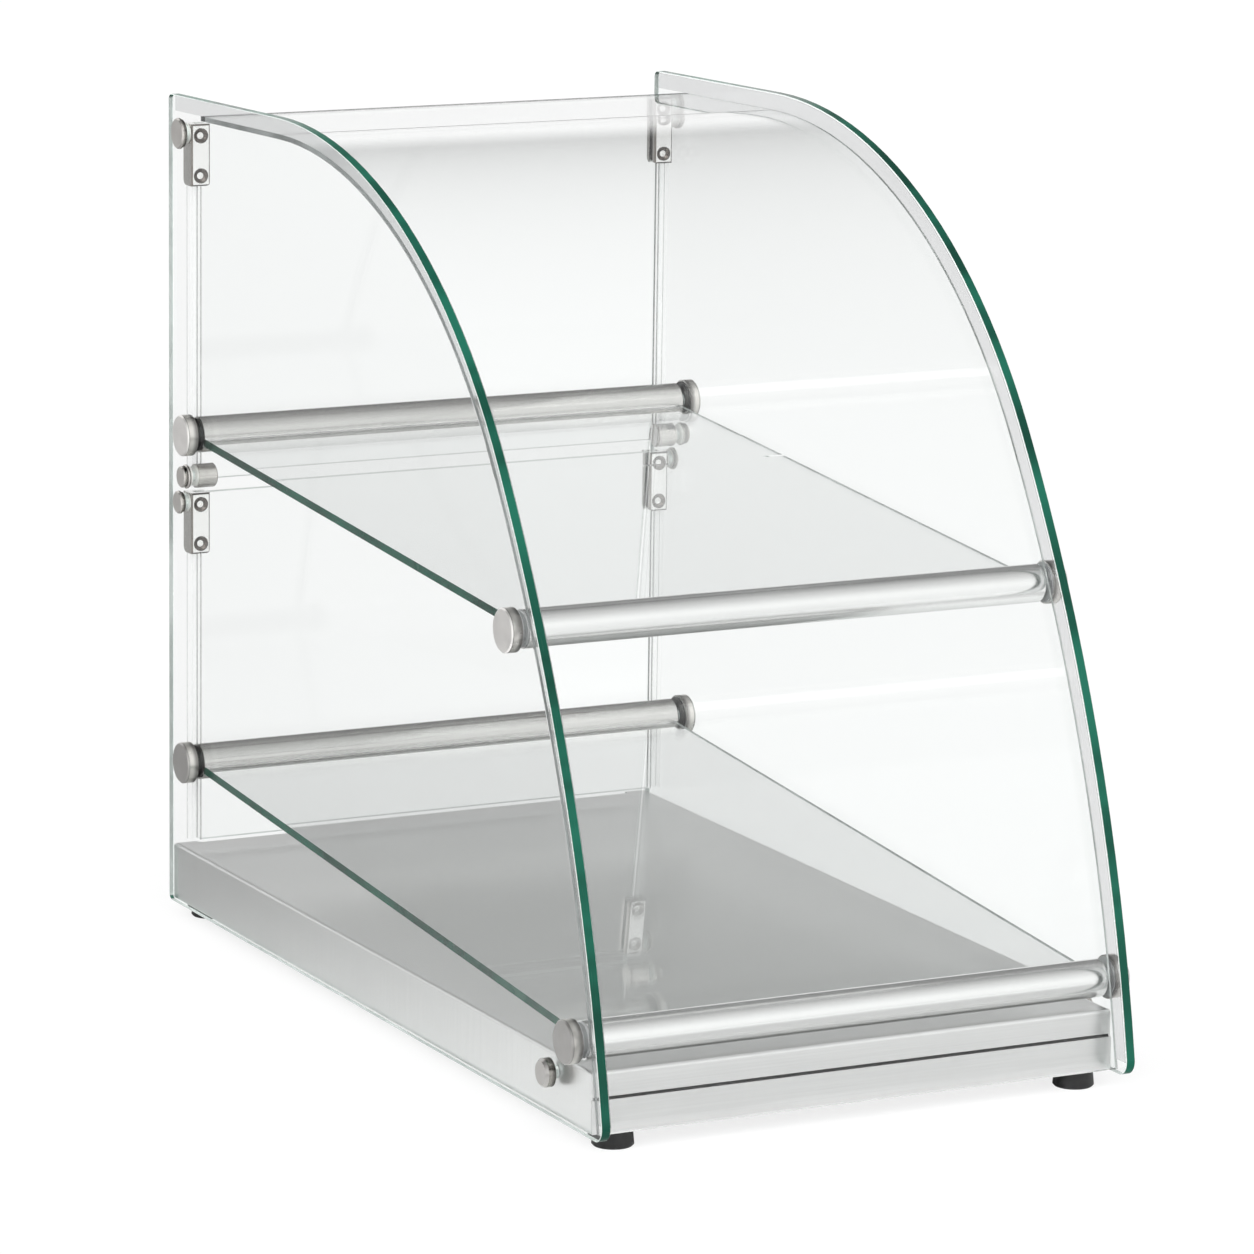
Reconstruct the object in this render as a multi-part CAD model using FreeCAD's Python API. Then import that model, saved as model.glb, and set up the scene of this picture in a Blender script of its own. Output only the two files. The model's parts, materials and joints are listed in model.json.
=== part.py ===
"""A glass countertop display case with two sloping shelves and two rear flap doors.

Millimetres, +Z up, the front faces -Y. The origin is on the counter, under the middle of the case.
Heights are measured up from the counter. A setback is measured forward from the rear edge of the
side glass, so a larger setback is nearer to the front.
"""
import FreeCAD, Part
import math
import os

# Whole case
overall_width = 348.0  # over the outer faces of the two side glasses
overall_depth = 619.0  # rear edge to the foremost point of a side glass
overall_height = 534.0  # counter to the highest point of a side glass

# Side glasses and their curved front edge: a nearly level top, a crown arc and a longer sweep arc
side_glass_thickness = 6.0
side_glass_drop = 1.0  # lower edge below the underside of the base
side_glass_arris = 0.35  # ground bevel round both faces
rear_corner_radius = 4.0
toe_radius = 9.0  # lower front corner
top_slope = 1.5  # degrees by which the top edge falls towards the rear
crown_radius = 367.0
crown_angle = 56.3  # degrees from the highest point to the end of the crown arc
sweep_radius = 913.0

# Bent front glass, set back from the curved edges and bonded between the side glasses
front_glass_thickness = 3.0
front_glass_reveal = 10.5  # how far the curved edges stand out past it
front_glass_lift = 2.0  # lower edge above the underside of the base
front_glass_door_gap = 16.0  # its rear edge ahead of the upper door's clamps
bond_width = 0.6
seal_lip_thickness = 0.4  # lip of the seal, on the side glass outside the bent glass
seal_lip_margin = 0.8  # lip behind the curved edges

# Rails: slotted tubes between the side glasses
rail_diameter = 22.6
rail_wall = 1.5
rail_front_gap = 0.3  # front rails behind the bent glass
rail_door_gap = 1.2  # rear rails ahead of the doors
lower_front_rail_gap = 4.1  # lowest rail above the deck
upper_rear_rail_gap = 8.3  # upper rear rail above the door stops
upper_rail_fall = 36.0  # upper front rail below the upper rear rail
lower_rail_fall = 45.6

# What holds a rail's end to a side glass
cap_diameter = 26.0
cap_thickness = 7.0
cap_chamfer = 0.8
cap_thread_depth = 5.5
gasket_thickness = 1.0
gasket_margin = 1.0  # a gasket is smaller all round than the piece it sits under
stud_diameter = 8.0
stud_hole_clearance = 1.0  # radial, in the glass
plug_length = 14.0
plug_thread_depth = 11.0

# Shelves
shelf_thickness = 5.0
shelf_side_gap = 2.0
shelf_rear_drop = 3.5  # shelf below the rear rails' axes
shelf_seat_depth = 4.0  # how far a shelf goes into a rail
shelf_slot_clearance = 0.2  # on each face of the shelf

# Base: a folded deck with full side walls, closed below by a tray with a front band
base_height = 35.8
sheet = 1.2
bend_radius = 0.8  # inside of a bend
base_side_gap = 0.3  # deck walls to side glass
base_rear_setback = 0.5
base_glass_gap = 0.8  # deck flange behind the bent glass
front_band_height = 19.6
front_band_seam = 1.5  # between the front band and the deck flange above it
front_band_gap = 0.3  # band ahead of the side walls' edges
front_band_return = 12.0
tray_lip_height = 12.0
tray_wall_gap = 0.1
rear_wall_inset = 6.0  # rear wall ahead of the side walls' rear edges
corner_tab_width = 15.0
corner_tab_radius = 3.0

# Feet
foot_height = 11.0
foot_top_diameter = 22.5
foot_bottom_diameter = 24.6
foot_edge_chamfer = 1.0
foot_side_inset = 16.7
foot_front_inset = 11.5
foot_rear_inset = 5.5  # ahead of the rear wall
foot_recess_diameter = 10.0
foot_recess_depth = 5.5
foot_screw_diameter = 4.0
foot_screw_head_diameter = 8.0
foot_screw_head_height = 2.4
foot_screw_grip = 6.0  # past the tray's floor

# Bolts that hold the side glasses to the base
bolt_head_diameter = 17.0
bolt_head_height = 6.0
bolt_head_chamfer = 1.6
bolt_diameter = 6.0
bolt_height = 25.7  # above the underside of the base
bolt_front_inset = 44.0  # behind the deck's front
bolt_nut_width = 10.0
bolt_nut_height = 5.0
bolt_end = 1.2  # past the nut
bolt_seat_diameter = 13.0  # part of the head that bears on its gasket

# Door stops: a barrel inside each side glass and a cap outside it
stop_diameter = 15.2
stop_barrel_length = 12.8
stop_collar_thickness = 2.0
stop_cap_diameter = 13.6
stop_cap_thickness = 3.0
stop_chamfer = 0.7
stop_stud_diameter = 5.0
stop_thread_depth = 4.0
stop_above_edge = 4.1  # stop's centre above the upper door's lower edge
stop_door_gap = 0.3

# Doors
pivot_setback = 21.4
upper_pivot_drop = 27.0  # below the highest point of the side glasses
lower_pivot_height = 273.0
door_glass_thickness = 5.0
door_top_margin = 5.5  # glass above the pivot
door_split_gap = 8.2  # upper door's lower edge above the lower door
door_floor_gap = 6.5  # lower door above the deck
door_corner_radius = 2.0

# Clear strips on the doors' upright edges
strip_width = 7.2
strip_wall = 0.8
strip_web = 3.2
strip_clamp_gap = 0.5

# Clamps that carry the doors on their pivots
clamp_width = 12.7
clamp_depth = 13.0
clamp_top_margin = 6.0  # clamp above the pivot
clamp_web = 4.0
clamp_side_gap = 0.9  # clamp to side glass
clamp_corner_radius = 4.0
clamp_plate_radius = 2.5
clamp_edge_chamfer = 1.0
clamp_pad_thickness = 0.5
clamp_pad_margin = 1.5
clamp_screw_drop = 7.3  # first screw below the clamp's top
clamp_screw_spacing = 25.2
clamp_screw_margin = 6.5  # second screw above the clamp's lower end
clamp_screw_diameter = 5.0
clamp_screw_head_diameter = 9.2
clamp_screw_head_height = 2.0
clamp_screw_dish_diameter = 8.2  # mouth of the dished face
clamp_screw_dish_floor = 4.8
clamp_screw_dish_depth = 1.1
clamp_screw_socket = 3.0  # across the flats
clamp_socket_depth = 0.7
clamp_screw_sink = 0.3  # screw face below the clamp's face
clamp_bore_depth = 3.6

# Pivots
upper_pivot_head_diameter = 19.4
lower_pivot_head_diameter = 14.6
pivot_head_thickness = 2.0
pivot_head_chamfer = 0.9
pivot_collar_thickness = 1.6
pivot_collar_margin = 0.9  # collar smaller all round than the head
pivot_diameter = 6.0
pivot_reach = 3.2  # pin into the clamp's web
bush_diameter = 10.0
bush_flange_diameter = 12.5
bush_flange_thickness = 0.6

# Fits
seat_gap = 0.05  # between glass and what is clamped to it
thread_clearance = 0.05  # radial, screws and studs in their threads
running_clearance = 0.05  # radial, pins that turn
screw_clearance = 0.25  # radial, screws in plain holes
swage_clearance = 0.05  # radial, plugs and bushes in their bores
tolerance = 1e-6  # for finding edges

# Worked out from the sizes above
outer_half = overall_width / 2
inner_half = outer_half - side_glass_thickness
half_depth = overall_depth / 2
base_bottom = foot_height
base_half = inner_half - base_side_gap
deck_top = base_bottom + base_height
glass_bottom = base_bottom - side_glass_drop
rail_radius = rail_diameter / 2
rail_bore_radius = rail_radius - rail_wall
rail_half = inner_half - gasket_thickness - seat_gap
front_glass_inset = front_glass_reveal + front_glass_thickness
front_glass_low = base_bottom + front_glass_lift

turn = math.radians(crown_angle)
fall = math.radians(top_slope)
crown_height = overall_height - crown_radius
sweep_height = crown_height + math.cos(turn) * (crown_radius - sweep_radius)
toe_height = glass_bottom + toe_radius
toe_rise = toe_height - sweep_height
toe_reach = math.sqrt((sweep_radius - toe_radius) ** 2 - toe_rise ** 2)
toe_setback = overall_depth - toe_radius
sweep_setback = toe_setback - toe_reach
crown_setback = sweep_setback - math.sin(turn) * (crown_radius - sweep_radius)
top_start = crown_setback - crown_radius * math.sin(fall)
top_rear_height = crown_height + crown_radius * math.cos(fall) - top_start * math.tan(fall)

door_front = pivot_setback + door_glass_thickness / 2
strip_front = door_front + strip_wall
rear_rail_setback = strip_front + rail_door_gap + rail_radius
stop_setback = strip_front + stop_door_gap + stop_diameter / 2
front_glass_rear = pivot_setback + clamp_depth / 2 + front_glass_door_gap
upper_pivot_height = overall_height - upper_pivot_drop
lower_door_bottom = deck_top + door_floor_gap
upper_door_bottom = lower_pivot_height + clamp_top_margin + door_split_gap
stop_height = upper_door_bottom + stop_above_edge
upper_rear_rail_height = stop_height + stop_diameter / 2 + upper_rear_rail_gap + rail_radius
upper_front_rail_height = upper_rear_rail_height - upper_rail_fall
lower_front_rail_height = deck_top + lower_front_rail_gap + rail_radius
lower_rear_rail_height = lower_front_rail_height + lower_rail_fall
clamp_height = clamp_screw_drop + clamp_screw_spacing + clamp_screw_margin
clamp_outer = inner_half - clamp_side_gap
clamp_inner = clamp_outer - clamp_width
door_glass_half = clamp_outer - clamp_web
clamp_slot = door_glass_thickness + 2 * clamp_pad_thickness

X_AXIS = FreeCAD.Vector(1, 0, 0)
FORWARD = FreeCAD.Vector(0, -1, 0)
UP = FreeCAD.Vector(0, 0, 1)
ORIGIN = FreeCAD.Vector(0, 0, 0)


def spot(x, setback, height):
    """A point of the case from its place across, along the depth and up."""
    return FreeCAD.Vector(x, half_depth - setback, height)


def mirrored(shape):
    """The same piece on the other side of the case."""
    return shape.mirror(ORIGIN, X_AXIS)


def both_sides(shape):
    """A right-hand piece and its left-hand twin."""
    return [shape, mirrored(shape)]


def bar(radius, x_start, x_end, setback, height):
    """A round bar across the case."""
    return Part.makeCylinder(radius, x_end - x_start, spot(x_start, setback, height), X_AXIS)


def ring(radius, bore_radius, x_start, x_end, setback, height):
    """A washer or tube across the case."""
    solid = bar(radius, x_start, x_end, setback, height)
    return solid.cut(bar(bore_radius, x_start, x_end, setback, height))


def block(x_start, x_end, rear, front, low, high):
    """A rectangular block between two places in each direction."""
    return Part.makeBox(x_end - x_start, front - rear, high - low, spot(x_start, front, low))


def across(edges, x_start, x_end):
    """A profile drawn in the plane x = x_start, carried across the case to x_end."""
    face = Part.Face(Part.Wire(edges))
    return face.extrude(FreeCAD.Vector(x_end - x_start, 0, 0))


def line(x, start, end):
    """A straight edge between two (setback, height) points in the plane at x."""
    return Part.LineSegment(spot(x, *start), spot(x, *end)).toShape()


def outline(x, points):
    """Straight edges round a closed row of (setback, height) points."""
    return [line(x, a, b) for a, b in zip(points, points[1:] + points[:1])]


def on_circle(centre, radius, angle):
    """The point at an angle from straight up, turning towards the front."""
    return (centre[0] + radius * math.sin(angle), centre[1] + radius * math.cos(angle))


def arc(x, centre, radius, start, end):
    """A circular edge in the plane at x between two angles from straight up."""
    angles = (start, (start + end) / 2, end)
    return Part.Arc(*[spot(x, *on_circle(centre, radius, a)) for a in angles]).toShape()


def circle_edges(shape, radius, x):
    """The round edges of one radius that lie in the plane at x."""
    found = []
    for edge in shape.Edges:
        is_round = isinstance(edge.Curve, Part.Circle)
        if is_round and math.isclose(edge.Curve.Radius, radius, abs_tol=tolerance):
            if math.isclose(edge.Curve.Center.x, x, abs_tol=tolerance):
                found.append(edge)
    return found


def level_edges(shape, height):
    """The edges whose ends all lie at a height."""
    found = []
    for edge in shape.Edges:
        if all(math.isclose(corner.Z, height, abs_tol=tolerance) for corner in edge.Vertexes):
            found.append(edge)
    return found


def hexagon(width):
    """The six corners of a hexagon, as (sideways, upward) offsets from its middle."""
    sides = 6
    return [on_circle((0.0, 0.0), width / math.sqrt(3), 2 * math.pi * i / sides) for i in range(sides)]


def edge_setback(height, inset):
    """How far forward the curved edge is at a height, once moved inwards by inset."""
    joint_height = crown_height + math.cos(turn) * (crown_radius - inset)
    if height > joint_height:
        return crown_setback + math.sqrt((crown_radius - inset) ** 2 - (height - crown_height) ** 2)
    return sweep_setback + math.sqrt((sweep_radius - inset) ** 2 - (height - sweep_height) ** 2)


def top_height(setback, inset):
    """How high the straight top edge is at a setback, once moved inwards by inset."""
    return top_rear_height + setback * math.tan(fall) - inset / math.cos(fall)


crown = (crown_setback, crown_height)
sweep = (sweep_setback, sweep_height)
toe = (toe_setback, toe_height)
deck_front = edge_setback(deck_top, front_glass_inset) - base_glass_gap
rail_inset = front_glass_inset + rail_front_gap + rail_radius
rail_axes = {
    "upper_front_rail": (edge_setback(upper_front_rail_height, rail_inset), upper_front_rail_height),
    "upper_rear_rail": (rear_rail_setback, upper_rear_rail_height),
    "lower_front_rail": (edge_setback(lower_front_rail_height, rail_inset), lower_front_rail_height),
    "lower_rear_rail": (rear_rail_setback, lower_rear_rail_height),
}
shelf_rails = {
    "upper_shelf": ("upper_rear_rail", "upper_front_rail"),
    "lower_shelf": ("lower_rear_rail", "lower_front_rail"),
}
bolt_place = (deck_front - bolt_front_inset, base_bottom + bolt_height)
stop_place = (stop_setback, stop_height)
pivot_places = {
    "upper": (pivot_setback, upper_pivot_height),
    "lower": (pivot_setback, lower_pivot_height),
}
pivot_head_diameters = {
    "upper": upper_pivot_head_diameter,
    "lower": lower_pivot_head_diameter,
}
door_bottoms = {"upper": upper_door_bottom, "lower": lower_door_bottom}


def side_glass():
    """The right side glass: a flat pane with a curved front edge, drilled for its hardware."""
    x = inner_half
    toe_angle = math.acos(toe_rise / (sweep_radius - toe_radius))
    corner = rear_corner_radius
    lower_corner = (corner, glass_bottom + corner)
    corner_height = top_height(corner, corner)
    upper_corner = (corner, corner_height)
    corner_end = on_circle(upper_corner, corner, -fall)
    edges = [
        line(x, (corner, glass_bottom), (toe_setback, glass_bottom)),
        arc(x, toe, toe_radius, math.pi, toe_angle),
        arc(x, sweep, sweep_radius, toe_angle, turn),
        arc(x, crown, crown_radius, turn, -fall),
        line(x, on_circle(crown, crown_radius, -fall), corner_end),
        arc(x, upper_corner, corner, -fall, -math.pi / 2),
        line(x, (0.0, corner_height), (0.0, glass_bottom + corner)),
        arc(x, lower_corner, corner, -math.pi / 2, -math.pi),
    ]
    pane = across(edges, x, outer_half)
    rims = [edge for edge in pane.Edges if edge.BoundBox.XLength < tolerance]
    pane = pane.makeChamfer(side_glass_arris, rims)
    holes = [(place, stud_diameter / 2 + stud_hole_clearance) for place in rail_axes.values()]
    holes.append((bolt_place, bolt_diameter / 2 + stud_hole_clearance))
    holes.append((stop_place, stop_stud_diameter / 2 + stud_hole_clearance))
    holes += [(place, bush_diameter / 2 + swage_clearance) for place in pivot_places.values()]
    for place, radius in holes:
        pane = pane.cut(bar(radius, inner_half, outer_half, *place))
    return pane


def curved_sheet(outer_inset, inner_inset, rear, low, x_start, x_end):
    """A sheet along the curved edge, from a rear setback down to a height, between two insets."""
    edges = []
    ends = []
    for inset in (outer_inset, inner_inset):
        low_angle = math.acos((low - sweep_height) / (sweep_radius - inset))
        top = top_height(rear, inset)
        top_end = on_circle(crown, crown_radius - inset, -fall)
        edges.append(line(x_start, (rear, top), top_end))
        edges.append(arc(x_start, crown, crown_radius - inset, -fall, turn))
        edges.append(arc(x_start, sweep, sweep_radius - inset, turn, low_angle))
        ends.append(((rear, top), (edge_setback(low, inset), low)))
    for outer_end, inner_end in zip(*ends):
        edges.append(line(x_start, outer_end, inner_end))
    return across(Part.__sortEdges__(edges), x_start, x_end)


def front_glass():
    """The bent glass that closes the front and the top."""
    half = inner_half - bond_width
    return curved_sheet(front_glass_reveal, front_glass_inset, front_glass_rear, front_glass_low, -half, half)


def front_glass_bonds():
    """The clear seams beside the bent glass, with a thin lip out to the side glasses' edges."""
    start = inner_half - bond_width + seat_gap
    end = inner_half - seat_gap
    lip_start = end - seal_lip_thickness
    seam_ends = (front_glass_rear, front_glass_low)
    lip_ends = (rear_corner_radius, toe_height)
    seam = curved_sheet(front_glass_reveal, front_glass_inset, *seam_ends, start, end)
    lip = curved_sheet(seal_lip_margin, front_glass_reveal, *lip_ends, lip_start, end)
    return both_sides(seam.fuse(lip).removeSplitter())


def shelf_directions(name):
    """A shelf's rear and front ends at its rails, the way along it and the way up from it."""
    rear_axis, front = (rail_axes[rail] for rail in shelf_rails[name])
    rear = (rear_axis[0], rear_axis[1] - shelf_rear_drop)
    run = front[0] - rear[0]
    rise = front[1] - rear[1]
    length = math.hypot(run, rise)
    along = (run / length, rise / length)
    normal = (-along[1], along[0])
    return rear, front, along, normal


def stepped(start, along, distance, normal, lift):
    """A (setback, height) point reached from start along a shelf and up from it."""
    return tuple(start[i] + along[i] * distance + normal[i] * lift for i in (0, 1))


def shelf(name):
    """A glass shelf whose long edges sit in the slots of two rails."""
    rear, front, along, normal = shelf_directions(name)
    reach = rail_radius - shelf_seat_depth
    half = shelf_thickness / 2
    points = [
        stepped(rear, along, reach, normal, -half),
        stepped(front, along, -reach, normal, -half),
        stepped(front, along, -reach, normal, half),
        stepped(rear, along, reach, normal, half),
    ]
    side = inner_half - shelf_side_gap
    return across(outline(-side, points), -side, side)


def rail_slot(rail):
    """The cutter for the slot that takes a shelf's edge."""
    name = next(shelf_name for shelf_name, rails in shelf_rails.items() if rail in rails)
    rear, front, along, normal = shelf_directions(name)
    start, way = (rear, 1) if rail == shelf_rails[name][0] else (front, -1)
    near = way * (rail_radius - shelf_seat_depth - shelf_slot_clearance)
    far = way * (rail_radius + rail_wall)
    half = shelf_thickness / 2 + shelf_slot_clearance
    points = [
        stepped(start, along, near, normal, -half),
        stepped(start, along, far, normal, -half),
        stepped(start, along, far, normal, half),
        stepped(start, along, near, normal, half),
    ]
    return across(outline(-inner_half, points), -inner_half, inner_half)


def rail(name):
    """A tube between the side glasses, slotted along one side."""
    tube = ring(rail_radius, rail_bore_radius, -rail_half, rail_half, *rail_axes[name])
    return tube.cut(rail_slot(name))


def rail_plugs(name):
    """The threaded plugs in a rail's two ends, milled with the slot."""
    place = rail_axes[name]
    plug = bar(rail_bore_radius - swage_clearance, rail_half - plug_length, rail_half, *place)
    thread = bar(stud_diameter / 2 + thread_clearance, rail_half - plug_thread_depth, rail_half, *place)
    plug = plug.cut(thread).cut(rail_slot(name))
    return both_sides(plug)


def rail_studs(name):
    """The studs that pull a rail's caps against its plugs."""
    end = outer_half + gasket_thickness + cap_thread_depth
    stud = bar(stud_diameter / 2, rail_half - plug_thread_depth + seat_gap, end, *rail_axes[name])
    return both_sides(stud)


def rail_cap(name):
    """The turned cap on a rail's right end, with a blind thread on its inner face."""
    place = rail_axes[name]
    inner = outer_half + seat_gap + gasket_thickness
    outer = inner + cap_thickness
    cap = bar(cap_diameter / 2, inner, outer, *place)
    cap = cap.makeChamfer(cap_chamfer, circle_edges(cap, cap_diameter / 2, outer))
    return cap.cut(bar(stud_diameter / 2 + thread_clearance, inner, inner + cap_thread_depth, *place))


def outer_gaskets(diameter, shank_diameter, place):
    """The washers between the caps or bolts and the outer faces of the side glasses."""
    bore = shank_diameter / 2 + screw_clearance
    start = outer_half + seat_gap
    return both_sides(ring(diameter / 2 - gasket_margin, bore, start, start + gasket_thickness, *place))


def inner_gaskets(diameter, shank_diameter, place):
    """The washers between the inner faces of the side glasses and what stands on them."""
    bore = shank_diameter / 2 + screw_clearance
    end = inner_half - seat_gap
    return both_sides(ring(diameter / 2 - gasket_margin, bore, end - gasket_thickness, end, *place))


def base_deck():
    """The folded deck: a top, two side walls, a short front flange, a rear wall and two corner tabs."""
    rear = base_rear_setback
    wall_rear = rear + rear_wall_inset
    under = deck_top - sheet
    inner = base_half - sheet
    flange_bottom = base_bottom + front_band_height + front_band_seam
    deck = block(-base_half, base_half, rear, deck_front, base_bottom, deck_top)
    deck = deck.makeFillet(bend_radius + sheet, level_edges(deck, deck_top))
    hollow = block(-inner, inner, wall_rear + sheet, deck_front - sheet, base_bottom, under)
    deck = deck.cut(hollow.makeFillet(bend_radius, level_edges(hollow, under)))
    deck = deck.cut(block(-inner, inner, deck_front - sheet, deck_front, base_bottom, flange_bottom))
    deck = deck.cut(block(-inner, inner, rear, wall_rear, base_bottom, under))
    tab_inner = base_half - corner_tab_width
    notch = block(-tab_inner, tab_inner, rear, wall_rear, base_bottom, deck_top)
    deck = deck.cut(notch)
    for tab_corner in (spot(tab_inner, wall_rear, under), spot(-tab_inner, wall_rear, under)):
        bend = [e for e in deck.Edges if e.BoundBox.isInside(tab_corner) and e.BoundBox.ZLength > sheet / 2]
        deck = deck.makeFillet(corner_tab_radius, bend)
    for bolt in both_sides(bar(bolt_diameter / 2 + screw_clearance, inner, base_half, *bolt_place)):
        deck = deck.cut(bolt)
    return deck


def base_tray():
    """The tray that closes the base: a floor with turned-up lips and a taller front band."""
    half = base_half - sheet - tray_wall_gap
    rear = base_rear_setback + rear_wall_inset + sheet + tray_wall_gap
    back = deck_front + front_band_gap
    front = back + sheet
    band_top = base_bottom + front_band_height
    tray = block(-half, half, rear, front, base_bottom, base_bottom + tray_lip_height)
    tray = tray.cut(block(-half + sheet, half - sheet, rear + sheet, back, base_bottom + sheet, band_top))
    band = [
        (front, base_bottom), (front, band_top), (front - front_band_return, band_top),
        (front - front_band_return, band_top - sheet), (back, band_top - sheet), (back, base_bottom),
    ]
    fold = across(outline(-half, band), -half, half)
    face = block(-base_half, base_half, back, front, base_bottom, band_top)
    tray = tray.fuse(fold).fuse(face).removeSplitter()
    for x, setback in foot_places().values():
        hole_radius = foot_screw_diameter / 2 + screw_clearance
        tray = tray.cut(Part.makeCylinder(hole_radius, sheet, spot(x, setback, base_bottom), UP))
    return tray


def foot_places():
    """The four feet by name, as (x, setback)."""
    side = base_half - foot_side_inset
    front = deck_front - foot_front_inset
    rear = base_rear_setback + rear_wall_inset + sheet + foot_rear_inset
    return {
        "front_left": (-side, front),
        "front_right": (side, front),
        "rear_left": (-side, rear),
        "rear_right": (side, rear),
    }


def foot(x, setback):
    """A flared rubber foot with a recess for its screw."""
    radii = (foot_bottom_diameter / 2, foot_top_diameter / 2)
    body = Part.makeCone(*radii, foot_height, spot(x, setback, 0), UP)
    body = body.makeChamfer(foot_edge_chamfer, level_edges(body, 0.0))
    recess = Part.makeCylinder(foot_recess_diameter / 2, foot_recess_depth, spot(x, setback, 0), UP)
    bore_radius = foot_screw_diameter / 2 + screw_clearance
    bore = Part.makeCylinder(bore_radius, foot_height, spot(x, setback, 0), UP)
    return body.cut(recess).cut(bore)


def foot_screw(x, setback):
    """The screw that holds a foot to the tray's floor."""
    head_top = foot_recess_depth
    head_low = head_top - foot_screw_head_height
    head_radius = foot_screw_head_diameter / 2
    head = Part.makeCylinder(head_radius, foot_screw_head_height, spot(x, setback, head_low), UP)
    length = foot_height + sheet + foot_screw_grip - head_top
    shank = Part.makeCylinder(foot_screw_diameter / 2, length, spot(x, setback, head_top), UP)
    return head.fuse(shank).removeSplitter()


def side_glass_bolt():
    """The right bolt that holds a side glass to the base."""
    seat = outer_half + seat_gap + gasket_thickness
    head = bar(bolt_head_diameter / 2, seat, seat + bolt_head_height, *bolt_place)
    rim = circle_edges(head, bolt_head_diameter / 2, seat + bolt_head_height)
    head = head.makeChamfer(bolt_head_chamfer, rim)
    tip = base_half - sheet - bolt_nut_height - bolt_end
    return head.fuse(bar(bolt_diameter / 2, tip, seat, *bolt_place)).removeSplitter()


def bolt_nut():
    """The right hexagon nut inside the deck's side wall."""
    end = base_half - sheet
    start = end - bolt_nut_height
    points = [(bolt_place[0] + step, bolt_place[1] + rise) for step, rise in hexagon(bolt_nut_width)]
    nut = across(outline(start, points), start, end)
    return nut.cut(bar(bolt_diameter / 2 + thread_clearance, start, end, *bolt_place))


def stop_barrel():
    """The right door stop inside the case."""
    end = inner_half - seat_gap - gasket_thickness
    start = end - stop_barrel_length
    barrel = bar(stop_diameter / 2, start, end, *stop_place)
    barrel = barrel.makeChamfer(stop_chamfer, circle_edges(barrel, stop_diameter / 2, start))
    thread = bar(stop_stud_diameter / 2 + thread_clearance, end - stop_thread_depth, end, *stop_place)
    return barrel.cut(thread)


def stop_cap():
    """The cap of the right door stop, outside the glass: a bevelled collar and a smaller head."""
    inner = outer_half + seat_gap + gasket_thickness
    shoulder = inner + stop_collar_thickness
    outer = shoulder + stop_cap_thickness
    collar = bar(stop_diameter / 2, inner, shoulder, *stop_place)
    rims = [edge for x in (inner, shoulder) for edge in circle_edges(collar, stop_diameter / 2, x)]
    collar = collar.makeChamfer(stop_chamfer, rims)
    head = bar(stop_cap_diameter / 2, shoulder, outer, *stop_place)
    head = head.makeChamfer(stop_chamfer, circle_edges(head, stop_cap_diameter / 2, outer))
    thread = bar(stop_stud_diameter / 2 + thread_clearance, inner, inner + stop_thread_depth, *stop_place)
    return collar.fuse(head).removeSplitter().cut(thread)


def stop_studs():
    """The studs that join the stops' barrels to their caps."""
    start = inner_half - gasket_thickness - stop_thread_depth
    end = outer_half + gasket_thickness + stop_thread_depth
    return both_sides(bar(stop_stud_diameter / 2, start, end, *stop_place))


def pivot(door):
    """The right pivot of a door: a turned head outside the glass and a pin through it."""
    place = pivot_places[door]
    radius = pivot_head_diameters[door] / 2
    seat = outer_half + seat_gap
    head_start = seat + pivot_collar_thickness
    head_end = head_start + pivot_head_thickness
    head = bar(radius, head_start, head_end, *place)
    head = head.makeChamfer(pivot_head_chamfer, circle_edges(head, radius, head_end))
    collar = bar(radius - pivot_collar_margin, seat, head_start, *place)
    pin = bar(pivot_diameter / 2, clamp_outer - pivot_reach, seat, *place)
    return head.fuse(collar).fuse(pin).removeSplitter()


def pivot_bushes(door):
    """The flanged bushes that line a door's two pivot holes."""
    place = pivot_places[door]
    flange_start = inner_half - seat_gap - bush_flange_thickness
    sleeve = bar(bush_diameter / 2, flange_start, outer_half, *place)
    flange = bar(bush_flange_diameter / 2, flange_start, inner_half - seat_gap, *place)
    bore = bar(pivot_diameter / 2 + running_clearance, flange_start, outer_half, *place)
    return both_sides(sleeve.fuse(flange).removeSplitter().cut(bore))


def door_glass(door):
    """A door's pane, with rounded lower corners."""
    low = door_bottoms[door]
    high = pivot_places[door][1] + door_top_margin
    rear = pivot_setback - door_glass_thickness / 2
    pane = block(-door_glass_half, door_glass_half, rear, door_front, low, high)
    corners = [edge for edge in level_edges(pane, low) if edge.BoundBox.XLength < tolerance]
    return pane.makeFillet(door_corner_radius, corners)


def door_strips(door):
    """The clear channel strips on a door's upright edges, below its clamps."""
    low = door_bottoms[door]
    high = pivot_places[door][1] + clamp_top_margin - clamp_height - strip_clamp_gap
    outer = door_glass_half + strip_web
    rear = pivot_setback - door_glass_thickness / 2 - strip_wall
    front = strip_front
    strip = block(outer - strip_width, outer, rear, front, low, high)
    channel = block(outer - strip_width, door_glass_half, rear + strip_wall, front - strip_wall, low, high)
    return both_sides(strip.cut(channel))


def clamp_screw_places(door):
    """The heights of a clamp's two screws."""
    first = pivot_places[door][1] + clamp_top_margin - clamp_screw_drop
    return [first, first - clamp_screw_spacing]


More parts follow.
